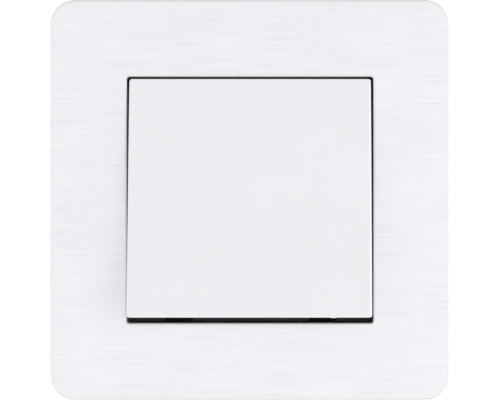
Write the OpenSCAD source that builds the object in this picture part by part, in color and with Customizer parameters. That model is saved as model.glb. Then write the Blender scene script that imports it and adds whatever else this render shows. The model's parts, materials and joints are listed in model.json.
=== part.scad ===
// Rocker wall switch: aluminium cover frame, white rocker key and the
// switching insert behind it. Millimetres. Origin: centre of the switch on the
// wall plane. +X right, +Z up, the room is at -Y and the wall box at +Y.
// Every sub-part is drawn flat (x right, y up, z out of the wall) and stood up.

/* [Cover frame] */
// outer size of the square plate
plate_size = 85; // [80:0.5:90]
// plan radius of the plate's outer corners
plate_corner = 5.4; // [3:0.1:9]
// thickness of the aluminium plate
plate_t = 1.2; // [0.8:0.1:2]
// rounding of the plate's outer edge
plate_round = 0.6; // [0.3:0.1:1]
// height of the plate's front face above the wall
plate_front = 8.6; // [7.5:0.1:11]
// clear size of the square opening
opening = 52.3; // [50:0.1:55]
// plan radius of the opening's corners
opening_corner = 0.6; // [0.2:0.1:2]
// how far the back frame stays inside the plate's edge
carrier_inset = 0.4; // [0.2:0.1:1]

/* [Rocker key] */
// width of the key
key_w = 51.25; // [48:0.05:52]
// height of the key
key_h = 50.4; // [47:0.05:51]
// how far the key's middle sits above the pivot axis
key_up = 0.1; // [0:0.05:0.2]
// depth of the key's skirt
key_depth = 5.8; // [4:0.1:6]
// wall of the key
key_wall = 1.4; // [1:0.1:2]
// rounding of the key's front edges
key_round = 0.5; // [0.2:0.1:1]
// tilt of the key each way from neutral, degrees
tilt = 5; // [3:0.5:5]
// key face to pivot axis
face_to_pivot = 6.05; // [5:0.05:7]
// height of the pivot axis above the wall
pivot_z = 4.75; // [4.7:0.05:5]

/* [Mounting yoke] */
// outer size of the square yoke
yoke_size = 71; // [68:0.5:74]
// sheet thickness
yoke_t = 1.0; // [0.8:0.1:1.5]
// spacing of the wall-box screws
box_spacing = 60; // [60]
// end radius of the box-screw slots
slot_r = 2.1; // [1.8:0.1:2.4]
// length of the box-screw slots
slot_len = 6.4; // [5:0.2:8]

/* [Insert] */
// width of the housing
base_w = 40; // [38:0.5:42]
// height of the housing
base_h = 42; // [40:0.5:43]
// depth of the housing behind the wall
base_d = 24; // [22:0.5:30]
// wall of the housing
base_wall = 1.6; // [1.2:0.1:2]
// radius of the conductor entries
wire_r = 1.6; // [1.3:0.1:1.8]
// height of the contact bridge's knife edge, from the wall
knife_z = -14.6; // [-16:0.1:-13]
// tilt of the contact bridge each way, degrees
bridge_tilt = 6; // [4:0.5:8]
// how far the release levers stand out of the housing
lever_out = 1.2; // [0.6:0.2:2]

/* [Hidden] */
$fn = 48;
eps = 0.01;
run = 0.05;           // radial clearance of pins and sliding parts
plate_back = plate_front - plate_t;
carrier_size = plate_size - 2 * carrier_inset;
carrier_corner = plate_corner - carrier_inset;
web_t = 1.5;          // web of the back frame, under the plate
carrier_wall = 2.0;
rib_t = 1.0;          // stiffening ribs of the mouldings
liner_t = 0.8;
liner_out = opening + 2 * liner_t;
lip = 56.4;           // outer size of the liner's flange behind the web
ring_t = 1.4;
ring_top = yoke_t + ring_t;
flange_t = 1.6;
cover_top = yoke_t + flange_t;
cover_w = 42;
cover_h = 44;
yoke_corner = 6;
yoke_hole_w = 37;     // window of the yoke for the cover's collar
yoke_hole_h = 39;
catch_x = 15.7;       // snap fingers of the liner, from the centre
catch_w = 5.8;
catch_low = -0.9;     // tip of the snap fingers, behind the yoke
notch_w = 6.1;
notch_low = 1.5;      // floor of the ring's notches
peg_x = 24;           // pegs of the ring in the yoke
peg_y = 21;
peg_r = 1.2;
panel_xy = 29;        // corner holes of the yoke
panel_r = 1.6;
clip_y = 7.2;         // clip posts of the key, from the pivot
clip_w = 5;
clip_t = 3;
stop_x = 8;           // end stops of the actuator on the cover
stop_y = 9.2;
stop_t = 1.2;
pin_r = 1.5;
pin_in = 11;
pin_out = 14.9;
cheek_in = 12.2;
cheek_out = 15.2;
plate_low = 0.8;      // actuator's plate, heights from the pivot
plate_high = 3.0;
finger_r = 3.1;
finger_bore = 2.1;
finger_end = -12.4;   // from the pivot, along the finger
spring_top = 1.5;
stem_top = -7.0;
tip_r = 1.2;
tip_gap = 0.04;
bridge_t = 0.8;
bridge_w = 5.2;
pill_y = 7.0;
pill_r = 1.5;
pill_t = 0.75;
// centre of the plunger's tip along the finger, over the bridge at neutral
knife_drop = pivot_z - knife_z;
tip_c = knife_drop - bridge_t - tip_gap - tip_r;
// the tip's end position seen from the tilted bridge gives the saddle's arc
end_y = -tip_c * sin(tilt);
end_z = knife_drop - tip_c * cos(tilt);
rel_y = end_y * cos(bridge_tilt) + end_z * sin(bridge_tilt);
rel_z = -end_y * sin(bridge_tilt) + end_z * cos(bridge_tilt);
rise = rel_z - (knife_drop - tip_c);
path_r = (rel_y * rel_y + rise * rise) / (2 * rise);
saddle_r = path_r + tip_r + tip_gap;
saddle_c = bridge_t + saddle_r;
saddle_half = 2.4;
floor_z = -base_d + base_wall;
wire_x = 8;
wire_y = 15;
guide_top = -18;
funnel = 0.8;         // depth and flare of the conductor entries' mouths
bus_y = 16.9;
bus_t = 0.8;
bus_top = -5;
bus_in = 2;           // the busbars' near and far sides, from the centre
bus_out = 11;
run_w = 2.5;
run_z = -17.7;
wall_y = 10.2;
wall_t = 1.0;
screw_x = 16.1;
screw_y = 17.1;
screw_r = 1.0;
screw_bore = 1.15;
head_r = 1.95;
lever_y0 = 12.2;
lever_y1 = 15.4;
lever_w = 3.2;
arm_top = -11.1;
arm_t = 1.2;
arm_half = 6.4;
arm_y1 = 14.3;

// ---- shared shapes ----

// flat drawing to standing part
module stand() { rotate([90, 0, 0]) children(); }

// the frame of the tilted key: origin on the pivot axis, top pressed in
module rocked() { translate([0, 0, pivot_z]) rotate([-tilt, 0, 0]) children(); }

// the frame of the tilted contact bridge: origin on the knife edge
module bridged(a = bridge_tilt) {
  translate([0, 0, knife_z]) rotate([a, 0, 0]) children();
}

module box(w, h, z0, z1) {
  translate([-w / 2, -h / 2, z0]) cube([w, h, z1 - z0]);
}

// box from x0..x1, y0..y1, z0..z1
module block(x0, x1, y0, y1, z0, z1) {
  translate([x0, y0, z0]) cube([x1 - x0, y1 - y0, z1 - z0]);
}

// square slab with rounded plan corners
module slab(w, h, z0, z1, r) {
  box(w - 2 * r, h, z0, z1);
  box(w, h - 2 * r, z0, z1);
  for (i = [0, 1]) for (j = [0, 1])
    mirror([i, 0, 0]) mirror([0, j, 0])
      translate([w / 2 - r, h / 2 - r, z0])
        rotate_extrude(angle = 90) square([r, z1 - z0]);
}

// section of a rounded front edge, u outwards from the core
module edge_section(t, r) {
  square([r, t - r]);
  translate([0, t - r]) intersection() { circle(r); square(r); }
}

// slab whose front edges are rounded
module soft_slab(w, h, z0, z1, rc, r) {
  t = z1 - z0;
  box(w - 2 * rc, h - 2 * r, z0, z1);
  box(w - 2 * r, h - 2 * rc, z0, z1);
  for (i = [0, 1]) {
    mirror([i, 0, 0]) translate([w / 2 - r, h / 2 - rc, z0])
      rotate([90, 0, 0]) linear_extrude(h - 2 * rc) edge_section(t, r);
    mirror([0, i, 0]) translate([-w / 2 + rc, h / 2 - r, z0])
      rotate([0, 0, 90]) rotate([90, 0, 0])
        linear_extrude(w - 2 * rc) edge_section(t, r);
    for (j = [0, 1]) mirror([i, 0, 0]) mirror([0, j, 0])
      translate([w / 2 - rc, h / 2 - rc, z0])
        rotate_extrude(angle = 90) {
          square([rc - r, t]);
          translate([rc - r, 0]) edge_section(t, r);
        }
  }
}

// eight-sided prism, the outline of the housing
module octagon(w, h, c, z0, z1) {
  translate([0, 0, z0]) linear_extrude(z1 - z0)
    polygon([[-w / 2 + c, -h / 2], [w / 2 - c, -h / 2], [w / 2, -h / 2 + c],
      [w / 2, h / 2 - c], [w / 2 - c, h / 2], [-w / 2 + c, h / 2],
      [-w / 2, h / 2 - c], [-w / 2, -h / 2 + c]]);
}

module four(x, y) {
  for (i = [-1, 1]) for (j = [-1, 1]) translate([i * x, j * y, 0]) children();
}

// lengthened hole along x, ends of radius r
module slot(r, len, z0, z1) {
  box(len - 2 * r, 2 * r, z0, z1);
  for (i = [-1, 1]) translate([i * (len / 2 - r), 0, z0])
    cylinder(r = r, h = z1 - z0);
}

// ---- cover frame ----

module front_plate() {
  color("Silver") stand() difference() {
    soft_slab(plate_size, plate_size, plate_back, plate_front,
      plate_corner, plate_round);
    slab(opening, opening, plate_back - 1, plate_front + 1, opening_corner);
  }
}

module frame_carrier() {
  cavity = carrier_size - 2 * carrier_wall;
  hole = liner_out + 0.1;
  rib_in = 30.4;
  notch_half = 6;
  color("White") stand() difference() {
    union() {
      difference() {
        slab(carrier_size, carrier_size, 0, plate_back, carrier_corner);
        slab(cavity, cavity, -1, plate_back - web_t,
          carrier_corner - carrier_wall);
      }
      // stiffening ribs under the web
      for (a = [0, 90, 180, 270]) rotate([0, 0, a])
        for (x = [-24, -9, 9, 24])
          block(x - rib_t / 2, x + rib_t / 2, rib_in, cavity / 2 + 0.5,
            3.4, plate_back - web_t + 0.5);
    }
    box(hole, hole, plate_back - web_t - 1, plate_back + 1);
    // notch for levering the frame off the wall
    block(-notch_half, notch_half, -carrier_size / 2 - 1,
      -carrier_size / 2 + carrier_wall + 0.5, -1, 0.8);
  }
}

module opening_liner() {
  lip_top = plate_back - web_t;
  color([0.08, 0.08, 0.09]) stand() difference() {
    union() {
      box(liner_out, liner_out, ring_top, plate_back);
      box(lip, lip, lip_top - 1, lip_top);
      // snap fingers through the ring and the yoke
      for (i = [-1, 1]) for (j = [0, 1]) mirror([0, j, 0])
        translate([i * catch_x, 0, 0]) {
          block(-catch_w / 2, catch_w / 2, opening / 2, liner_out / 2,
            catch_low, ring_top + 0.5);
          block(-catch_w / 2, catch_w / 2, opening / 2 - 1.1,
            opening / 2 + 0.3, catch_low, -run);
        }
    }
    slab(opening, opening, ring_top - 0.01, plate_back + 1, opening_corner);
  }
}

module support_ring() {
  out = liner_out - 0.1;
  color([0.22, 0.23, 0.24]) stand() difference() {
    union() {
      box(out, out, yoke_t, ring_top);
      four(peg_x, peg_y) translate([0, 0, 0.1])
        cylinder(r = peg_r, h = yoke_t);
    }
    box(cover_w + 0.4, cover_h + 0.4, yoke_t - 2, ring_top + 1);
    // stepped notches for the snap fingers, close round the finger at the yoke
    for (i = [-1, 1]) for (j = [0, 1]) mirror([0, j, 0])
      translate([i * catch_x, 0, 0]) {
        block(-notch_w / 2, notch_w / 2, opening / 2 - 1.6, out / 2 + 1,
          notch_low, ring_top + 1);
        block(-catch_w / 2 - run / 2, catch_w / 2 + run / 2,
          opening / 2 - run, out / 2 + 1, yoke_t - 1, ring_top);
      }
  }
}

module mounting_yoke() {
  color("Gainsboro") stand() difference() {
    slab(yoke_size, yoke_size, 0, yoke_t, yoke_corner);
    slab(yoke_hole_w, yoke_hole_h, -1, yoke_t + 1, 0.5);
    for (a = [0, 90, 180, 270]) rotate([0, 0, a])
      translate([box_spacing / 2, 0, 0]) slot(slot_r, slot_len, -1, yoke_t + 1);
    four(peg_x, peg_y) translate([0, 0, -1])
      cylinder(r = peg_r + run, h = yoke_t + 2);
    four(panel_xy, panel_xy) translate([0, 0, -1])
      cylinder(r = panel_r, h = yoke_t + 2);
    for (i = [-1, 1]) for (j = [0, 1]) mirror([0, j, 0])
      translate([i * catch_x, 0, 0])
        block(-catch_w / 2 - run, catch_w / 2 + run, opening / 2 - 0.5,
          liner_out / 2 + 0.25, -1, yoke_t + 1);
  }
}

// ---- rocker ----

module rocker_key() {
  top = face_to_pivot;
  low = face_to_pivot - key_depth;
  ceil_z = face_to_pivot - key_wall;
  rib_z = 3.1;
  iw = key_w - 2 * key_wall;
  ih = key_h - 2 * key_wall;
  rib_x = 18;
  rib_y = 15;
  gate_x = 17.6;
  gate_half = 0.65;
  color("WhiteSmoke") stand() rocked() {
    translate([0, key_up, 0]) {
      difference() {
        soft_slab(key_w, key_h, low, top, key_round + 0.1, key_round);
        box(iw, ih, low - 1, ceil_z);
      }
      // stiffening ribs
      for (i = [-1, 1]) {
        translate([i * rib_x, 0, 0])
          box(rib_t, ih + 0.2, rib_z, ceil_z + 0.2);
        translate([0, i * rib_y, 0])
          box(iw + 0.2, rib_t, rib_z, ceil_z + 0.2);
      }
      // moulding gate on the bottom edge
      block(gate_x - gate_half, gate_x + gate_half, -key_h / 2 - 0.1,
        -key_h / 2 + 0.2, 4.2, 5.4);
    }
    // posts that clip into the actuator
    for (j = [-1, 1]) translate([0, j * clip_y, 0])
      box(clip_w, clip_t, plate_low + 0.2, ceil_z + 0.2);
  }
}

module rocker_actuator() {
  plate_w = 23.6;
  plate_h = 20.8;
  cheek_t = 2.2;
  color("Ivory") stand() rocked() difference() {
    union() {
      box(plate_w, plate_h, plate_low, plate_high);
      for (i = [0, 1]) mirror([i, 0, 0]) {
        translate([plate_w / 2 - cheek_t / 2, 0, 0])
          box(cheek_t, 6, -pin_r - 0.1, plate_high);
        translate([pin_in, 0, 0]) rotate([0, 90, 0])
          cylinder(r = pin_r, h = pin_out - pin_in);
      }
      translate([0, 0, finger_end])
        cylinder(r = finger_r, h = plate_high - 1 - finger_end);
    }
    translate([0, 0, finger_end - 1])
      cylinder(r = finger_bore, h = spring_top - finger_end + 1);
    for (j = [-1, 1]) translate([0, j * clip_y, 0])
      box(clip_w + 0.2, clip_t + 0.2, 0, plate_high + 1);
    // openings that save material and let the moulding cool evenly
    four(6.8, 6.6) box(3.4, 5, 0, plate_high + 1);
  }
}

module plunger() {
  cone_top = -14.6;
  color("DimGray") stand() rocked() {
    translate([0, 0, cone_top])
      cylinder(r = finger_bore - run, h = stem_top - cone_top);
    translate([0, 0, -tip_c])
      cylinder(r1 = tip_r, r2 = finger_bore - run, h = tip_c + cone_top);
    translate([0, 0, -tip_c]) sphere(r = tip_r);
  }
}

// round wire wound into a helix, rings of points joined by triangles
module helix(r, wire, h, turns, steps = 16, sides = 6) {
  n = turns * steps;
  ring = [for (k = [0 : sides - 1]) 360 * k / sides];
  points = [for (i = [0 : n]) for (b = ring) let (a = 360 * i / steps)
    [(r + wire * cos(b)) * cos(a), (r + wire * cos(b)) * sin(a),
      h * i / n + wire * sin(b)]];
  sides_faces = [for (i = [0 : n - 1]) for (k = [0 : sides - 1])
    let (a = i * sides + k, b = i * sides + (k + 1) % sides)
      each [[a, b, b + sides], [a, b + sides, a + sides]]];
  start = [[for (k = [0 : sides - 1]) sides - 1 - k]];
  end = [[for (k = [0 : sides - 1]) n * sides + k]];
  polyhedron(points, concat(sides_faces, start, end));
}

module plunger_spring() {
  wire = 0.25;
  color("LightSlateGray") stand() rocked()
    translate([0, 0, stem_top + wire])
      helix(1.55, wire, spring_top - stem_top - 2 * wire, 6);
}

// ---- insert ----

module insert_cover() {
  well_r = 2.1;
  cheek_w = 6.8;
  cheek_top = 7.0;
  cheek_x = (cheek_in + cheek_out) / 2;
  // just under the actuator's plate when it is fully tilted
  stop_top = pivot_z + plate_low * cos(tilt)
    - (stop_y + stop_t / 2) * sin(tilt) - 0.04;
  color([0.85, 0.86, 0.84]) stand() difference() {
    union() {
      box(yoke_hole_w - 0.4, yoke_hole_h - 0.4, 0, yoke_t);
      slab(cover_w, cover_h, yoke_t, cover_top, 2);
      for (i = [-1, 1]) translate([i * cheek_x, 0, 0])
        box(cheek_out - cheek_in, cheek_w, cover_top - 0.2, cheek_top);
      // end stops of the actuator
      four(stop_x, stop_y) box(4, stop_t, cover_top - 0.2, stop_top);
    }
    // bearings, each open upwards through a snap-in slot
    for (i = [-1, 1]) translate([i * cheek_x, 0, pivot_z]) {
      rotate([0, 90, 0]) translate([0, 0, -3])
        cylinder(r = pin_r + run, h = 6);
      box(6, 2.5, 0, cheek_top);
    }
    // window of the swinging finger
    box(7.2, 8.4, -1, cover_top + 1);
    four(screw_x, screw_y) {
      translate([0, 0, -1]) cylinder(r = screw_bore, h = cover_top + 1);
      translate([0, 0, cover_top - 1]) cylinder(r = well_r, h = 2);
    }
  }
}

module insert_base() {
  iw = base_w - 2 * base_wall;
  ih = base_h - 2 * base_wall;
  color([0.80, 0.81, 0.80]) stand() difference() {
    union() {
      difference() {
        octagon(base_w, base_h, 3.5, -base_d, 0);
        octagon(iw, ih, 2.5, floor_z, 1);
      }
      for (j = [0, 1]) mirror([0, j, 0]) {
        // walls between the contact room and the terminal rooms
        block(-iw / 2 - 0.1, iw / 2 + 0.1, wall_y, wall_y + wall_t,
          floor_z - 0.1, -0.1);
        // seats of the busbars
        block(-bus_out - 0.6, bus_out + 0.6, bus_y + bus_t, ih / 2 + 0.1,
          floor_z - 0.1, bus_top + 1);
        for (i = [-1, 1]) {
          // guide of each conductor, with a rest for the release lever
          translate([i * wire_x, wire_y, 0])
            box(6.2, 5.4, floor_z - 0.1, guide_top);
          translate([i * 5.6, 13.1, 0])
            box(1.4, 1.8, guide_top - 0.2, arm_top - arm_t - 0.06);
        }
      }
      // corner posts of the cover screws
      four(16.6, 17.6) box(4.2, 4.2, floor_z - 0.1, 0);
      // slot for the knife-edge plate, beside the common strip
      for (j = [-1, 1]) translate([0.8, j * 1.1, 0])
        box(5.2, 1.3, floor_z - 0.1, guide_top);
    }
    // trim the posts to the housing's outline
    difference() {
      box(base_w + 4, base_h + 4, -base_d - 1, 1);
      octagon(base_w, base_h, 3.5, -base_d - 2, 2);
    }
    // conductor entries, each with a funnel at its mouth
    four(wire_x, wire_y) {
      translate([0, 0, -base_d - 1])
        cylinder(r = wire_r, h = base_d + guide_top + 2);
      translate([0, 0, -base_d - eps])
        cylinder(r1 = wire_r + funnel, r2 = wire_r, h = funnel + eps);
    }
    // strip gauge and label field on the back
    block(-6, 6, 8.2, 8.8, -base_d - 1, -base_d + 0.4);
    block(-9, 9, -5, 5, -base_d - 1, -base_d + 0.25);
    // grip grooves in the side walls
    for (i = [0, 1]) mirror([i, 0, 0]) for (z = [-19 : 2.4 : -9])
      block(base_w / 2 - 0.5, base_w / 2 + 1, -9, 9, z, z + 1.1);
    // lever slots
    for (j = [0, 1]) mirror([0, j, 0])
      block(-lever_w / 2 - 0.1, lever_w / 2 + 0.1, lever_y0 - 0.1,
        lever_y1 + 0.1, -base_d - 1, floor_z + 1);
    four(screw_x, screw_y) translate([0, 0, -9])
      cylinder(r = screw_r + 0.02, h = 10);
    for (j = [0, 1]) mirror([0, j, 0]) {
      // passages of the busbars
      block(bus_in - 0.2, bus_in + run_w + 0.2, wall_y - 1,
        wall_y + wall_t + 1, run_z - 0.2, run_z + bus_t + 0.2);
      block(-bus_in - run_w - 0.2, -bus_in + 0.2, wall_y - 1,
        wall_y + wall_t + 1, floor_z, floor_z + bus_t + 0.2);
    }
  }
}

module cover_screws() {
  color("Silver") stand() four(screw_x, screw_y) difference() {
    union() {
      translate([0, 0, -8.5]) cylinder(r = screw_r, h = cover_top + 7.5);
      translate([0, 0, cover_top - 1]) cylinder(r = head_r, h = 0.95);
    }
    translate([0, 0, cover_top - 0.5]) {
      box(2.4, 0.6, 0, 1);
      box(0.6, 2.4, 0, 1);
    }
  }
}

// ---- contacts ----

// section of the bridge: a saddle between two flat arms
module bridge_section() {
  rim = saddle_c - sqrt(saddle_r * saddle_r - saddle_half * saddle_half);
  intersection() {
    translate([0, saddle_c]) difference() {
      circle(saddle_r + bridge_t, $fn = 96);
      circle(saddle_r, $fn = 96);
    }
    translate([-saddle_half, -1]) square([2 * saddle_half, 3]);
  }
  for (i = [0, 1]) mirror([i, 0]) {
    translate([saddle_half - 0.7, rim - 2 * bridge_t + 0.3])
      square([0.7, 1.0]);
    translate([saddle_half - 0.7, 0]) square([6.4, bridge_t]);
  }
}

module contact_seesaw() {
  color("Goldenrod") stand() bridged() difference() {
    rotate([90, 0, 90]) translate([0, 0, -bridge_w / 2])
      linear_extrude(bridge_w) bridge_section();
    for (j = [-1, 1]) translate([0, j * pill_y, -1]) cylinder(r = 0.7, h = 3);
  }
}

// silver contact with its rivet through the bridge, under the bridge's arm
module moving_contact(s) {
  color("WhiteSmoke") stand() bridged() translate([0, s * pill_y, 0]) {
    translate([0, 0, -pill_t]) cylinder(r = pill_r, h = pill_t);
    translate([0, 0, -0.1]) cylinder(r = 0.68, h = bridge_t + 0.1);
    translate([0, 0, bridge_t]) cylinder(r = 1.1, h = 0.35);
  }
}
module moving_contact_upper() { moving_contact(1); }
module moving_contact_lower() { moving_contact(-1); }

// silver contact on its pad, facing the closed moving contact
module fixed_contact(s) {
  color("WhiteSmoke") stand() bridged(-s * bridge_tilt)
    translate([0, s * pill_y, -pill_t - 0.05 - 0.7])
      cylinder(r = pill_r, h = 0.7);
}
module fixed_contact_upper() { fixed_contact(1); }
module fixed_contact_lower() { fixed_contact(-1); }

// pad, run through the wall and busbar; drawn for the upper pole
module pole_terminal() {
  pad_top = -pill_t - 0.05 - 0.7;
  bridged(-bridge_tilt) block(-2.2, 4.5, 5.2, 9.2, pad_top - 0.7, pad_top);
  block(bus_in, bus_in + run_w, 8.6, bus_y + 0.1, run_z, run_z + bus_t);
  block(bus_in, bus_in + run_w, bus_y, bus_y + bus_t, run_z, bus_top);
  block(bus_in, bus_out, bus_y, bus_y + bus_t, run_z + 0.2, bus_top);
}
module upper_terminal() { color("DarkGoldenrod") stand() pole_terminal(); }
module lower_terminal() {
  color("DarkGoldenrod") stand() mirror([0, 1, 0]) pole_terminal();
}

module common_terminal() {
  apex = knife_z - 0.04;
  color("DarkGoldenrod") stand() {
    // knife edge with an ear at each end to keep the bridge in place
    translate([-4.5, 0, 0]) rotate([90, 0, 90]) linear_extrude(9)
      polygon([[-0.4, floor_z], [0.4, floor_z], [0.4, apex - 0.4], [0, apex],
        [-0.4, apex - 0.4]]);
    for (i = [-1, 1]) translate([i * 3.7, 0, 0])
      box(1.6, 0.8, apex - 2, knife_z + 1.2);
    // strip on the floor, risers and busbars
    block(-bus_in - run_w, -bus_in, -bus_y - bus_t, bus_y + bus_t,
      floor_z, floor_z + bus_t);
    for (j = [0, 1]) mirror([0, j, 0]) {
      block(-bus_in - run_w, -bus_in, bus_y, bus_y + bus_t, floor_z, bus_top);
      block(-bus_out, -bus_in, bus_y, bus_y + bus_t, run_z + 0.2, bus_top);
    }
  }
}

// ---- terminals ----

// bent strip: anchor leg, loop and clamping leg, in the y-z plane
module clamp_section() {
  t = 0.4;
  r = 1.3;
  a = 42;
  y0 = 11.3;
  z0 = -8.5;
  leg = (bus_y - 0.05 - y0 - r - r * cos(a)) / sin(a);
  translate([y0, -17]) square([t, z0 + 17.05]);
  translate([y0 + r, z0]) {
    intersection() {
      difference() { circle(r); circle(r - t); }
      polygon([[0, 0], [-3, 0], [-3, 3], [3, 3],
        [3 * cos(a), 3 * sin(a)]]);
    }
    rotate(a - 90) translate([-0.05, r - t]) square([leg + 0.05, t]);
  }
}

module clamp_spring(i, j) {
  color("LightSteelBlue") stand() mirror([0, j < 0 ? 1 : 0, 0])
    translate([i * wire_x - 2.5, 0, 0]) rotate([90, 0, 90])
      linear_extrude(5) clamp_section();
}
module clamp_spring_upper_left() { clamp_spring(-1, 1); }
module clamp_spring_upper_right() { clamp_spring(1, 1); }
module clamp_spring_lower_left() { clamp_spring(-1, -1); }
module clamp_spring_lower_right() { clamp_spring(1, -1); }

// push button through the housing's floor, with arms under the clamp springs
module release_lever() {
  block(-lever_w / 2, lever_w / 2, lever_y0, lever_y1,
    -base_d - lever_out, arm_top - 0.1);
  block(-arm_half, arm_half, lever_y0, arm_y1, arm_top - arm_t, arm_top);
}
module release_lever_upper() { color("OrangeRed") stand() release_lever(); }
module release_lever_lower() {
  color("OrangeRed") stand() mirror([0, 1, 0]) release_lever();
}

front_plate();
frame_carrier();
opening_liner();
support_ring();
mounting_yoke();
rocker_key();
rocker_actuator();
plunger();
plunger_spring();
insert_cover();
insert_base();
cover_screws();
contact_seesaw();
moving_contact_upper();
moving_contact_lower();
fixed_contact_upper();
fixed_contact_lower();
common_terminal();
upper_terminal();
lower_terminal();
clamp_spring_upper_left();
clamp_spring_upper_right();
clamp_spring_lower_left();
clamp_spring_lower_right();
release_lever_upper();
release_lever_lower();
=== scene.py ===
"""Rocker wall switch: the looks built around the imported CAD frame.

Metres, the frame's axes: +X right, +Z up, the room at -Y and the wall box at +Y.
The plate, the key and the plunger's spring are rebuilt here as clean meshes on the
CAD's own dimensions. The other CAD nodes keep their shape and get fine edge
roundings and materials.
"""
import json
import math

import bmesh
import bpy
from mathutils import Matrix, Vector


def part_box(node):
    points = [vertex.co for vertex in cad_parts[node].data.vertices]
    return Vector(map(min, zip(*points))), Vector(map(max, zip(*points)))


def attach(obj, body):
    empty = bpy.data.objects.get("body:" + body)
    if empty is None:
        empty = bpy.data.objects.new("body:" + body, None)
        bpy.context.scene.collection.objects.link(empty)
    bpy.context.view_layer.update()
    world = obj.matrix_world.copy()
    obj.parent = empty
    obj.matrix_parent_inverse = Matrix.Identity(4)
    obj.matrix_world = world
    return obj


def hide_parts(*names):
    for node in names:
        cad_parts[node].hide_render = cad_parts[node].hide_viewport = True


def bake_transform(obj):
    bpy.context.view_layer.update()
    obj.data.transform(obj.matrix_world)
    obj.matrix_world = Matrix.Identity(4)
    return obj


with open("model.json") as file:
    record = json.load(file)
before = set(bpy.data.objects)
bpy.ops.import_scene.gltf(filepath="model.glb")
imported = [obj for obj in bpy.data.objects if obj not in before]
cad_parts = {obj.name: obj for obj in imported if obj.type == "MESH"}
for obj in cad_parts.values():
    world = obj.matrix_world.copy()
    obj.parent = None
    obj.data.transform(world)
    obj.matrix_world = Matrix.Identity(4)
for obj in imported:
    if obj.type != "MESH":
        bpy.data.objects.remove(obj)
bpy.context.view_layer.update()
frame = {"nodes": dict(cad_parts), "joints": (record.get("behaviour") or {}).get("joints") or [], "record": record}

MM = 0.001
RECORD = frame["record"]
JOINTS = {joint["name"]: joint for joint in frame["joints"]}

# the plate and its opening, as in the CAD; its edge is the small step at the back
PLATE_CORNER = 5.4 * MM
PLATE_ROUND = 0.6 * MM
PLATE_EDGE = 0.1 * MM
OPENING = 52.3 * MM
OPENING_CORNER = 0.6 * MM
OPENING_ROUND = 0.4 * MM

# the key; the gate's trace is a small stub on its lower edge
KEY_WIDTH = 51.25 * MM
KEY_HEIGHT = 50.4 * MM
KEY_DEPTH = 5.8 * MM
KEY_WALL = 1.4 * MM
KEY_CORNER = 0.6 * MM
KEY_ROUND = 0.5 * MM
KEY_EDGE = 0.12 * MM
FACE_TO_PIVOT = 6.05 * MM
KEY_UP = 0.1 * MM
CLIP_FROM_PIVOT = 7.2 * MM
KEY_RIB_X = 18.0 * MM
KEY_RIB_Z = 15.0 * MM
KEY_RIB_END = 3.1 * MM
KEY_RIB_HALF = 0.5 * MM
KEY_SINK = 0.2 * MM
CLIP_HALF_WIDTH = 2.5 * MM
CLIP_HALF_HEIGHT = 1.5 * MM
CLIP_END = 1.0 * MM
GATE_X = (16.95 * MM, 18.25 * MM)
GATE_Y = (-5.4 * MM, -4.2 * MM)
GATE_Z = (-0.1 * MM, 0.2 * MM)
TILT = math.radians(JOINTS["rocker_tilt"]["range_deg"][1] / 2)

# plunger spring, places along the finger as distances behind the pivot
SPRING_RADIUS = 1.55 * MM
SPRING_WIRE = 0.25 * MM
SPRING_WALL = -1.5 * MM
SPRING_SEAT = 7.0 * MM
SPRING_CLEAR = 0.01 * MM
SPRING_TURNS = 7

# steps of a quarter round, in an edge and in a corner seen from the front, and
# the edge rounding of the other parts in mm
ARC_STEPS = 8
CORNER_STEPS = 10
FINE_EDGE = 0.06
EDGE_WIDTHS = {
    "frame_carrier": 0.25, "opening_liner": 0.12, "support_ring": 0.12, "mounting_yoke": 0.12,
    "insert_cover": 0.15, "insert_base": 0.15, "rocker_actuator": 0.12,
    "release_lever_upper": 0.15, "release_lever_lower": 0.15,
}

# nodes whose faces with many holes stay as triangles under the edge rounding
KEEP_TRIANGLES = ("frame_carrier", "insert_base", "rocker_actuator")

# camera: how much of the plate's plane the picture's width takes in, and how far
# the camera stands to the right of the switch's centre line
FIELD_WIDTH = 105.9 * MM
LENS = 85.0
SENSOR = 36.0
CAMERA_RIGHT = 9.0 * MM

# the studio's sweep: half its width, the heights of its floor and top, and the
# places along Y of its near edge and its wall, with the bend's radius
SWEEP_HALF = 4.0
SWEEP_FLOOR = -0.45
SWEEP_TOP = 1.0
SWEEP_NEAR = -4.0
SWEEP_WALL = 0.95
SWEEP_BEND = 0.35
SWEEP_STEPS = 12


# ---------------------------------------------------------------- node helpers

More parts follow.
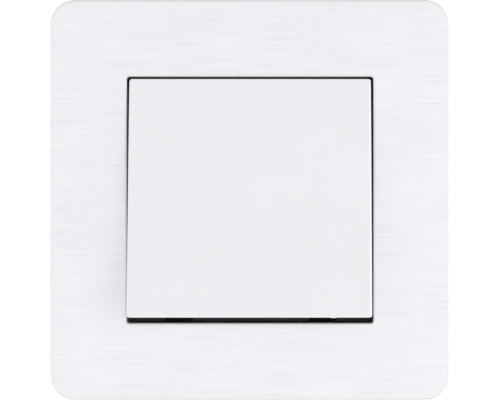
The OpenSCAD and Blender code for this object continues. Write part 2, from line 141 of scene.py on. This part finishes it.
class Nodes:
    """Short hand for building a material's node tree."""

    def __init__(self, name):
        self.material = bpy.data.materials.new(name)
        self.material.use_nodes = True
        self.tree = self.material.node_tree
        self.bsdf = self.tree.nodes["Principled BSDF"]
        self.coord = self.tree.nodes.new("ShaderNodeTexCoord")

    def add(self, kind, **settings):
        node = self.tree.nodes.new(kind)
        for key, value in settings.items():
            setattr(node, key, value)
        return node

    def link(self, source, target):
        self.tree.links.new(source, target)

    def value(self, socket, number):
        self.bsdf.inputs[socket].default_value = number

    def mapping(self, scale):
        node = self.add("ShaderNodeMapping")
        node.inputs["Scale"].default_value = scale
        self.link(self.coord.outputs["Object"], node.inputs["Vector"])
        return node.outputs["Vector"]

    def noise(self, vector, scale, detail=2.0, roughness=0.5):
        node = self.add("ShaderNodeTexNoise")
        node.inputs["Scale"].default_value = scale
        node.inputs["Detail"].default_value = detail
        node.inputs["Roughness"].default_value = roughness
        node.inputs["Distortion"].default_value = 0.0
        self.link(vector, node.inputs["Vector"])
        return node.outputs["Fac"]

    def ramp(self, factor, stops):
        node = self.add("ShaderNodeValToRGB")
        elements = node.color_ramp.elements
        while len(elements) < len(stops):
            elements.new(0.5)
        for element, (position, colour) in zip(elements, stops):
            element.position = position
            element.color = (*colour, 1.0)
        self.link(factor, node.inputs["Fac"])
        return node.outputs["Color"]

    def spread(self, factor, low, high, start=0.0, end=1.0):
        node = self.add("ShaderNodeMapRange")
        node.inputs["From Min"].default_value = start
        node.inputs["From Max"].default_value = end
        node.inputs["To Min"].default_value = low
        node.inputs["To Max"].default_value = high
        self.link(factor, node.inputs["Value"])
        return node.outputs["Result"]

    def mix(self, factor, first, second, blend="MIX"):
        node = self.add("ShaderNodeMix", data_type="RGBA", blend_type=blend)
        if isinstance(factor, float):
            node.inputs["Factor"].default_value = factor
        else:
            self.link(factor, node.inputs["Factor"])
        self.link(first, node.inputs[6])
        self.link(second, node.inputs[7])
        return node.outputs[2]

    def maths(self, operation, first, second):
        node = self.add("ShaderNodeMath", operation=operation)
        for socket, value in zip(node.inputs, (first, second)):
            if isinstance(value, float):
                socket.default_value = value
            else:
                self.link(value, socket)
        return node.outputs["Value"]

    def bump(self, height, strength, distance):
        node = self.add("ShaderNodeBump")
        node.inputs["Strength"].default_value = strength
        node.inputs["Distance"].default_value = distance
        self.link(height, node.inputs["Height"])
        self.link(node.outputs["Normal"], self.bsdf.inputs["Normal"])


# ---------------------------------------------------------------- materials

def tone(colour, factor):
    """A colour made lighter or darker, with no part of it above 1."""
    return tuple(min(1.0, c * factor) for c in colour)


def brushed_aluminium():
    """Fine horizontal brushing: long streaks along X, stacked in Z."""
    n = Nodes("brushed_aluminium")
    fine = n.noise(n.mapping((90.0, 1.0, 5200.0)), 1.0, detail=3.0, roughness=0.7)
    bands = n.noise(n.mapping((60.0, 1.0, 2300.0)), 1.0, detail=2.0, roughness=0.5)
    patches = n.noise(n.mapping((45.0, 1.0, 110.0)), 1.0, detail=3.0, roughness=0.6)
    streaks = n.maths("ADD", n.maths("MULTIPLY", fine, 0.5), n.maths("MULTIPLY", bands, 0.5))
    base = (0.952, 0.958, 0.976)
    colour = n.ramp(streaks, [(0.30, tone(base, 0.94)), (0.50, base), (0.72, tone(base, 1.04))])
    drift = n.ramp(patches, [(0.3, (0.965, 0.965, 0.965)), (0.7, (1.0, 1.0, 1.0))])
    n.link(n.mix(1.0, colour, drift, "MULTIPLY"), n.bsdf.inputs["Base Color"])
    n.link(n.spread(streaks, 0.36, 0.48, 0.3, 0.7), n.bsdf.inputs["Roughness"])
    n.value("Metallic", 0.6)
    n.value("Anisotropic", 0.6)
    tangent = n.add("ShaderNodeTangent", direction_type="UV_MAP", uv_map="brushing")
    n.link(tangent.outputs["Tangent"], n.bsdf.inputs["Tangent"])
    n.bump(streaks, 0.3, 0.01 * MM)
    return n.material


def bright_rim():
    """The cut and polished edge round the brushed face."""
    n = Nodes("bright_rim")
    grain = n.noise(n.mapping((400.0, 400.0, 400.0)), 1.0, detail=3.0)
    base = (0.86, 0.86, 0.855)
    n.link(n.ramp(grain, [(0.3, tone(base, 0.985)), (0.7, base)]), n.bsdf.inputs["Base Color"])
    n.link(n.spread(grain, 0.6, 0.7), n.bsdf.inputs["Roughness"])
    n.value("Metallic", 0.65)
    n.bump(grain, 0.1, 0.01 * MM)
    return n.material


def plastic(name, colour, roughness, grain=0.012, uneven=0.03, face=None):
    """Moulded plastic: fine grain in the gloss, slow unevenness in the colour.

    With a face given, its Y place, whatever is sunk behind that face turns black: painted shade in the recesses,
    darker than their real shadow.
    """
    n = Nodes(name)
    slow = n.noise(n.mapping((60.0, 60.0, 60.0)), 1.0, detail=2.0)
    fine = n.noise(n.mapping((2200.0, 2200.0, 2200.0)), 1.0, detail=2.0, roughness=0.6)
    tint = n.ramp(slow, [(0.3, tone(colour, 1.0 - uneven)), (0.7, tone(colour, 1.0 + uneven))])
    if face is not None:
        split = n.add("ShaderNodeSeparateXYZ")
        n.link(n.coord.outputs["Object"], split.inputs["Vector"])
        # painted shade: parts sunk behind the face go near black, standing in for the shadow in a recess
        painted_recess_shade = n.spread(split.outputs["Y"], 0.0, 1.0, face + 0.15 * MM, face + 0.45 * MM)
        tint = n.mix(painted_recess_shade, tint, n.ramp(slow, [(0.3, (0.02, 0.02, 0.02)), (0.7, (0.03, 0.03, 0.03))]))
    n.link(tint, n.bsdf.inputs["Base Color"])
    n.link(n.spread(fine, roughness - 0.05, roughness + 0.06), n.bsdf.inputs["Roughness"])
    n.bump(fine, 0.35, grain * MM)
    return n.material


def zinc_sheet():
    """Zinc-plated steel: crystals in the coating and fine rolling lines."""
    n = Nodes("zinc_sheet")
    cells = n.add("ShaderNodeTexVoronoi")
    cells.inputs["Scale"].default_value = 260.0
    n.link(n.coord.outputs["Object"], cells.inputs["Vector"])
    rolled = n.noise(n.mapping((900.0, 60.0, 25.0)), 1.0, detail=3.0)
    grey = (0.66, 0.67, 0.69)
    colour = n.ramp(cells.outputs["Color"], [(0.2, tone(grey, 0.9)), (0.8, tone(grey, 1.08))])
    lines = n.ramp(rolled, [(0.3, (0.93, 0.93, 0.93)), (0.7, (1.0, 1.0, 1.0))])
    n.link(n.mix(1.0, colour, lines, "MULTIPLY"), n.bsdf.inputs["Base Color"])
    n.link(n.spread(rolled, 0.28, 0.42), n.bsdf.inputs["Roughness"])
    n.value("Metallic", 1.0)
    n.bump(rolled, 0.2, 0.01 * MM)
    return n.material


def metal(name, colour, roughness, uneven=0.05):
    """Stamped or drawn metal with a faint tarnish."""
    n = Nodes(name)
    patches = n.noise(n.mapping((100.0, 100.0, 100.0)), 1.0, detail=3.0)
    fine = n.noise(n.mapping((2000.0, 500.0, 500.0)), 1.0, detail=2.0)
    n.link(
        n.ramp(patches, [(0.35, tone(colour, 1.0 - uneven)), (0.7, tone(colour, 1.0 + uneven))]),
        n.bsdf.inputs["Base Color"],
    )
    n.link(n.spread(fine, roughness - 0.05, roughness + 0.08), n.bsdf.inputs["Roughness"])
    n.value("Metallic", 1.0)
    n.bump(fine, 0.2, 0.008 * MM)
    return n.material


MATERIALS = {
    "brushed_aluminium": brushed_aluminium(),
    "bright_rim": bright_rim(),
    "white_plastic": plastic("white_plastic", (0.80, 0.80, 0.79), 0.45),
    "white_key_plastic": plastic(
        "white_key_plastic", (0.848, 0.852, 0.866), 0.38, grain=0.004, uneven=0.006
    ),
    "black_plastic": plastic("black_plastic", (0.15, 0.154, 0.162), 0.50),
    # the support ring: painted shade darkens its notches behind its face
    "dark_grey_plastic": plastic(
        "dark_grey_plastic", (0.15, 0.155, 0.165), 0.55, face=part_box("support_ring")[0].y
    ),
    "light_grey_plastic": plastic("light_grey_plastic", (0.58, 0.59, 0.58), 0.5),
    "ivory_plastic": plastic("ivory_plastic", (0.70, 0.67, 0.57), 0.45),
    "orange_plastic": plastic("orange_plastic", (0.72, 0.21, 0.03), 0.42),
    "zinc_steel": zinc_sheet(),
    "spring_steel": metal("spring_steel", (0.56, 0.57, 0.59), 0.28),
    "brass": metal("brass", (0.78, 0.57, 0.27), 0.30, uneven=0.08),
    "contact_silver": metal("contact_silver", (0.88, 0.87, 0.84), 0.25),
}


# ---------------------------------------------------------------- mesh helpers

def rounded_ring(width, height, radius, y):
    """Points of a rounded rectangle in the plane at y, from the lower right corner on."""
    corners = [(1, -1, -90), (1, 1, 0), (-1, 1, 90), (-1, -1, 180)]
    points = []
    for sx, sz, start in corners:
        cx, cz = sx * (width / 2 - radius), sz * (height / 2 - radius)
        for i in range(CORNER_STEPS + 1):
            a = math.radians(start + 90 * i / CORNER_STEPS)
            points.append(Vector((cx + radius * math.cos(a), y, cz + radius * math.sin(a))))
    return points


def new_object(name, bm, material_names):
    """An object made from a finished bmesh, in the scene, with its material slots."""
    mesh = bpy.data.meshes.new(name)
    bm.normal_update()
    bm.to_mesh(mesh)
    bm.free()
    obj = bpy.data.objects.new(name, mesh)
    bpy.context.scene.collection.objects.link(obj)
    for material in material_names:
        mesh.materials.append(MATERIALS[material])
    return obj


def bridge(bm, first, second, material=0):
    """Quads between two closed rings of vertices."""
    count = len(first)
    for i in range(count):
        j = (i + 1) % count
        face = bm.faces.new((first[i], first[j], second[j], second[i]))
        face.material_index = material
        face.smooth = True


def ring_of(bm, points):
    """A closed ring of vertices, one at each point."""
    return [bm.verts.new(p) for p in points]


def soften(obj, width):
    """Fine edge rounding and clean shading on a piece, as modifiers."""
    bevel = obj.modifiers.new("edges", "BEVEL")
    bevel.width = width
    bevel.segments = 2
    bevel.limit_method = "ANGLE"
    bevel.angle_limit = math.radians(40.0)
    bevel.harden_normals = False
    bevel.miter_outer = "MITER_ARC"
    weighted = obj.modifiers.new("shading", "WEIGHTED_NORMAL")
    weighted.keep_sharp = True
    weighted.weight = 80


def weigh_normals(obj):
    """Clean shading on a piece whose edges are already round."""
    weighted = obj.modifiers.new("shading", "WEIGHTED_NORMAL")
    weighted.keep_sharp = True
    weighted.weight = 90


# ---------------------------------------------------------------- pieces

def build_plate():
    """The aluminium cover plate: brushed face, rounded bright rim, square opening."""
    low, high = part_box("front_plate")
    size = high.x - low.x
    front, back = low.y, high.y
    bm = bmesh.new()
    rings = []
    # each ring comes with its material slot: 0 is the brushed face, 1 the bright rim;
    # first the back edge, the side and the outer rounding
    inner = size - 2 * PLATE_EDGE
    rings.append((rounded_ring(inner, inner, PLATE_CORNER - PLATE_EDGE, back), 1))
    rings.append((rounded_ring(size, size, PLATE_CORNER, back - PLATE_EDGE), 1))
    for i in range(ARC_STEPS + 1):
        a = math.radians(90 * i / ARC_STEPS)
        inset = PLATE_ROUND * (1 - math.cos(a))
        y = front + PLATE_ROUND * (1 - math.sin(a))
        rings.append((rounded_ring(size - 2 * inset, size - 2 * inset, PLATE_CORNER - inset, y), 1))
    # the face runs to the opening's rounding
    for i in range(ARC_STEPS + 1):
        a = math.radians(90 * i / ARC_STEPS)
        outset = OPENING_ROUND * (1 - math.sin(a))
        y = front + OPENING_ROUND * (1 - math.cos(a))
        side = OPENING + 2 * outset
        rings.append((rounded_ring(side, side, OPENING_CORNER + outset, y), 0 if i == 0 else 1))
    rings.append((rounded_ring(OPENING, OPENING, OPENING_CORNER, back), 1))
    loops = [(ring_of(bm, points), material) for points, material in rings]
    for (first, _), (second, material) in zip(loops, loops[1:]):
        bridge(bm, first, second, material)
    bridge(bm, loops[-1][0], loops[0][0], 1)
    bmesh.ops.recalc_face_normals(bm, faces=bm.faces)
    uv = bm.loops.layers.uv.new("brushing")
    for face in bm.faces:
        for loop in face.loops:
            loop[uv].uv = (loop.vert.co.x / size + 0.5, loop.vert.co.z / size + 0.5)
    plate = new_object("aluminium_plate", bm, ["brushed_aluminium", "bright_rim"])
    weigh_normals(plate)
    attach(plate, "switch_body")
    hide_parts("front_plate")
    return plate


def add_box(bm, x0, x1, y0, y1, z0, z1):
    """A closed box, drawn from its two corners."""
    centre = Vector(((x0 + x1) / 2, (y0 + y1) / 2, (z0 + z1) / 2))
    size = Matrix.Diagonal((x1 - x0, y1 - y0, z1 - z0, 1.0))
    bmesh.ops.create_cube(bm, size=1.0, matrix=Matrix.Translation(centre) @ size)


def rest_place():
    """From the drawing round the pivot, upright, to the rocker's place at rest."""
    pivot = Matrix.Translation(Vector(JOINTS["rocker_tilt"]["pos_m"]))
    return pivot @ Matrix.Rotation(-TILT, 4, "X")


def build_key():
    """The rocker key: a hollow cap with softly rounded front edges.

    Drawn upright round the pivot, its face at -Y.
    """
    face_y = -FACE_TO_PIVOT
    low_y = face_y + KEY_DEPTH
    ceiling = face_y + KEY_WALL
    inner_w = KEY_WIDTH - 2 * KEY_WALL
    inner_h = KEY_HEIGHT - 2 * KEY_WALL
    bm = bmesh.new()
    rings = [
        rounded_ring(inner_w, inner_h, KEY_CORNER, ceiling),
        rounded_ring(inner_w, inner_h, KEY_CORNER, low_y - KEY_EDGE),
        rounded_ring(inner_w + KEY_EDGE, inner_h + KEY_EDGE, KEY_CORNER, low_y),
        rounded_ring(KEY_WIDTH - KEY_EDGE, KEY_HEIGHT - KEY_EDGE, KEY_CORNER, low_y),
        rounded_ring(KEY_WIDTH, KEY_HEIGHT, KEY_CORNER, low_y - KEY_EDGE),
    ]
    for i in range(ARC_STEPS + 1):
        a = math.radians(90 * i / ARC_STEPS)
        inset = KEY_ROUND * (1 - math.cos(a))
        y = face_y + KEY_ROUND * (1 - math.sin(a))
        width, height = KEY_WIDTH - 2 * inset, KEY_HEIGHT - 2 * inset
        rings.append(rounded_ring(width, height, KEY_CORNER - inset, y))
    loops = [ring_of(bm, points) for points in rings]
    for first, second in zip(loops, loops[1:]):
        bridge(bm, first, second)
    bm.faces.new(loops[-1]).smooth = True
    bm.faces.new(reversed(loops[0]))
    bmesh.ops.recalc_face_normals(bm, faces=bm.faces)
    bmesh.ops.translate(bm, verts=bm.verts, vec=(0, 0, KEY_UP))
    key = new_object("key_cap", bm, ["white_key_plastic"])
    weigh_normals(key)

    # behind the face: clip posts, stiffening ribs and the gate's trace
    bm = bmesh.new()
    half_w = inner_w / 2 + KEY_SINK / 2
    half_h = inner_h / 2 + KEY_SINK / 2
    root = ceiling - KEY_SINK
    low = KEY_UP - half_h
    high = KEY_UP + half_h
    for side in (-1, 1):
        post = side * CLIP_FROM_PIVOT
        foot = post - CLIP_HALF_HEIGHT
        head = post + CLIP_HALF_HEIGHT
        add_box(bm, -CLIP_HALF_WIDTH, CLIP_HALF_WIDTH, root, -CLIP_END, foot, head)
        x = side * KEY_RIB_X
        z = side * KEY_RIB_Z + KEY_UP
        add_box(bm, x - KEY_RIB_HALF, x + KEY_RIB_HALF, root, -KEY_RIB_END, low, high)
        add_box(bm, -half_w, half_w, root, -KEY_RIB_END, z - KEY_RIB_HALF, z + KEY_RIB_HALF)
    bottom = KEY_UP - KEY_HEIGHT / 2
    add_box(bm, *GATE_X, *GATE_Y, bottom + GATE_Z[0], bottom + GATE_Z[1])
    ribs = new_object("key_ribs_and_clips", bm, ["white_key_plastic"])
    soften(ribs, 0.12 * MM)
    for piece in (key, ribs):
        piece.data.transform(rest_place())
        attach(piece, "rocker")
        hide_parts("rocker_key")


def build_spring():
    """The plunger's spring: round wire, a closed turn at each end.

    Drawn upright round the pivot, from the finger's end wall back to its seat on the plunger.
    """
    steps = 28
    sides = 12
    first = SPRING_WALL + SPRING_WIRE + SPRING_CLEAR
    last = SPRING_SEAT - SPRING_WIRE - SPRING_CLEAR
    closed = 2 * SPRING_WIRE
    pitch = (last - first - 2 * closed) / (SPRING_TURNS - 2)
    bm = bmesh.new()
    loops = []
    for i in range(SPRING_TURNS * steps + 1):
        turn = i / steps
        open_turns = min(max(turn - 1, 0), SPRING_TURNS - 2)
        y = first + closed * (turn - open_turns) + pitch * open_turns
        out = Vector((math.cos(2 * math.pi * turn), 0, math.sin(2 * math.pi * turn)))
        points = []
        for k in range(sides):
            b = 2 * math.pi * k / sides
            spread = SPRING_RADIUS + SPRING_WIRE * math.cos(b)
            points.append(spread * out + Vector((0, y + SPRING_WIRE * math.sin(b), 0)))
        loops.append(ring_of(bm, points))
    for before, after in zip(loops, loops[1:]):
        bridge(bm, before, after)
    bm.faces.new(loops[0])
    bm.faces.new(reversed(loops[-1]))
    bmesh.ops.recalc_face_normals(bm, faces=bm.faces)
    spring = new_object("plunger_spring_coil", bm, ["spring_steel"])
    spring.data.transform(rest_place())
    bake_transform(spring)
    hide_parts("plunger_spring")


def dress_cad_nodes():
    """Material, fine edges and clean shading for every CAD node that shows."""
    slots = {row["node"]: row["material_slot"] for row in RECORD["subparts"]}
    for name, node in frame["nodes"].items():
        node.data.materials.clear()
        node.data.materials.append(MATERIALS[slots[name]])
        if name in ("front_plate", "rocker_key", "plunger_spring"):
            continue
        node.data.shade_smooth()
        weld = node.modifiers.new("weld", "WELD")
        weld.merge_threshold = 0.001 * MM
        if name not in KEEP_TRIANGLES:
            flat = node.modifiers.new("flat_faces", "DECIMATE")
            flat.decimate_type = "DISSOLVE"
            flat.angle_limit = math.radians(1.0)
        soften(node, EDGE_WIDTHS.get(name, FINE_EDGE) * MM)


# ---------------------------------------------------------------- studio

def build_studio():
    """A pale sweep under and behind the switch, bright enough to read as white.

    It glows a little, more behind the switch than on the floor.
    """
    n = Nodes("studio_white")
    shade = n.noise(n.mapping((3.0, 3.0, 3.0)), 1.0)
    white = n.ramp(shade, [(0.3, (0.93, 0.93, 0.93)), (0.7, (0.95, 0.95, 0.95))])
    n.link(white, n.bsdf.inputs["Base Color"])
    n.value("Roughness", 0.9)
    n.value("Emission Color", (1.0, 1.0, 1.0, 1.0))
    height = n.add("ShaderNodeSeparateXYZ")
    n.link(n.coord.outputs["Object"], height.inputs["Vector"])
    glow = n.spread(height.outputs["Z"], 0.05, 0.32, -0.42, -0.15)
    n.link(glow, n.bsdf.inputs["Emission Strength"])
    bend_y = SWEEP_WALL - SWEEP_BEND
    bend_z = SWEEP_FLOOR + SWEEP_BEND
    profile = [Vector((0, SWEEP_NEAR, SWEEP_FLOOR)), Vector((0, bend_y, SWEEP_FLOOR))]
    for i in range(1, SWEEP_STEPS + 1):
        a = math.radians(90 * i / SWEEP_STEPS)
        y = bend_y + SWEEP_BEND * math.sin(a)
        z = bend_z - SWEEP_BEND * math.cos(a)
        profile.append(Vector((0, y, z)))
    profile.append(Vector((0, SWEEP_WALL, SWEEP_TOP)))
    bm = bmesh.new()
    left = [bm.verts.new(p + Vector((-SWEEP_HALF, 0, 0))) for p in profile]
    right = [bm.verts.new(p + Vector((SWEEP_HALF, 0, 0))) for p in profile]
    for i in range(len(profile) - 1):
        bm.faces.new((left[i], left[i + 1], right[i + 1], right[i])).smooth = True
    mesh = bpy.data.meshes.new("studio_sweep")
    bm.to_mesh(mesh)
    bm.free()
    mesh.materials.append(n.material)
    sweep = bpy.data.objects.new("studio_sweep", mesh)
    bpy.context.scene.collection.objects.link(sweep)


def add_softbox(name, place, side, power):
    """A square white area light, turned to the middle of the wall plane."""
    data = bpy.data.lights.new(name, "AREA")
    data.shape = "RECTANGLE"
    data.size = side
    data.size_y = side
    data.energy = power
    data.color = (1.0, 1.0, 1.0)
    light = bpy.data.objects.new(name, data)
    light.location = place
    light.rotation_euler = (-Vector(place)).to_track_quat("-Z", "Y").to_euler()
    bpy.context.scene.collection.objects.link(light)


def light_studio():
    """Even room light, slightly warmer straight overhead, and a softbox on each side."""
    add_softbox("softbox_right", (1.07, -0.53, 0.10), 1.2, 6.7)
    add_softbox("softbox_left", (-1.07, -0.53, 0.0), 1.2, 4.1)
    world = bpy.data.worlds.new("studio_world")
    bpy.context.scene.world = world
    world.use_nodes = True
    tree = world.node_tree
    background = tree.nodes["Background"]
    coord = tree.nodes.new("ShaderNodeTexCoord")
    split = tree.nodes.new("ShaderNodeSeparateXYZ")
    ramp = tree.nodes.new("ShaderNodeValToRGB")
    tree.links.new(coord.outputs["Generated"], split.inputs["Vector"])
    tree.links.new(split.outputs["Z"], ramp.inputs["Fac"])
    stops = ramp.color_ramp.elements
    stops[0].position = 0.88
    stops[0].color = (0.684, 0.688, 0.700, 1)
    stops[1].position = 0.98
    stops[1].color = (0.71, 0.69, 0.66, 1)
    tree.links.new(ramp.outputs["Color"], background.inputs["Color"])
    background.inputs["Strength"].default_value = 1.0
    bpy.context.scene.view_settings.view_transform = "Standard"


def add_camera():
    """In front of the plate, parallel to it, and shifted back onto its centre."""
    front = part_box("front_plate")[0].y
    distance = FIELD_WIDTH * LENS / SENSOR
    data = bpy.data.cameras.new("camera")
    data.lens = LENS
    data.sensor_width = SENSOR
    data.shift_x = -CAMERA_RIGHT / FIELD_WIDTH
    data.clip_start = 0.01
    camera = bpy.data.objects.new("camera", data)
    camera.location = (CAMERA_RIGHT, front - distance, 0.0)
    camera.rotation_euler = (math.radians(90), 0, 0)
    bpy.context.scene.collection.objects.link(camera)
    bpy.context.scene.camera = camera


add_camera()
build_studio()
light_studio()
dress_cad_nodes()
build_plate()
build_key()
build_spring()
